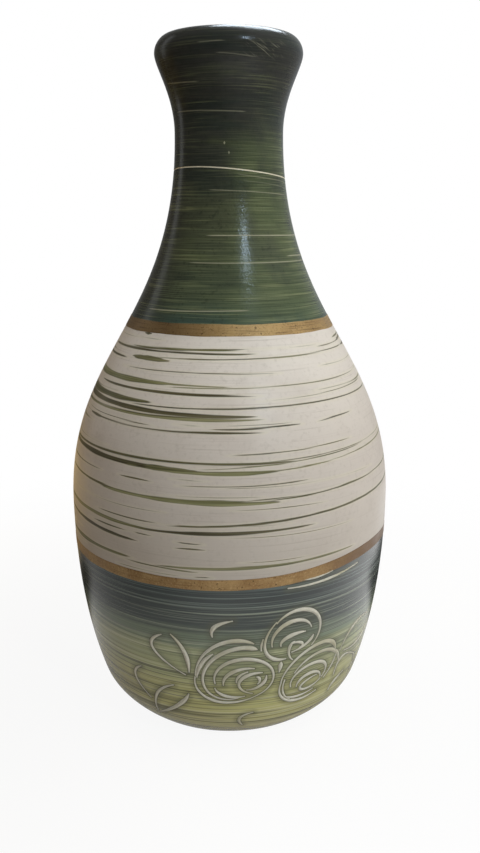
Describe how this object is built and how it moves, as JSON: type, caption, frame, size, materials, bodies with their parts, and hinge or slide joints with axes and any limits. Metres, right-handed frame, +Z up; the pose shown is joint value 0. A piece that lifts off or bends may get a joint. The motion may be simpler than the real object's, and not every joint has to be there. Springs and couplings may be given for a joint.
{
  "type": "ceramic vase",
  "caption": "Bottle-shaped earthenware vase with a flared lip, slim neck, full belly and recessed foot; holds cut or dried stems, with or without water.",
  "frame": {"origin": "middle of the foot ring, on the surface that the vase stands on", "axes": "+Z up along the vase's axis, -Y towards the side with the rose spray, +X to its right"},
  "size_m": [0.194, 0.194, 0.4],
  "materials": {
    "fired_clay": "matte",
    "clear_glaze": "gloss",
    "meadow_green_glaze": "gloss",
    "gold_lustre": "satin",
    "cream_slip": "satin",
    "dark_green_glaze": "gloss"
  },
  "bodies": {
    "root": {"clay_body": "fired_clay", "inner_glaze": "clear_glaze", "base_coat": "meadow_green_glaze", "lower_gold_band": "gold_lustre", "belly_coat": "cream_slip", "upper_gold_band": "gold_lustre", "neck_coat": "dark_green_glaze", "rim_coat": "dark_green_glaze"}
  },
  "joints": []
}
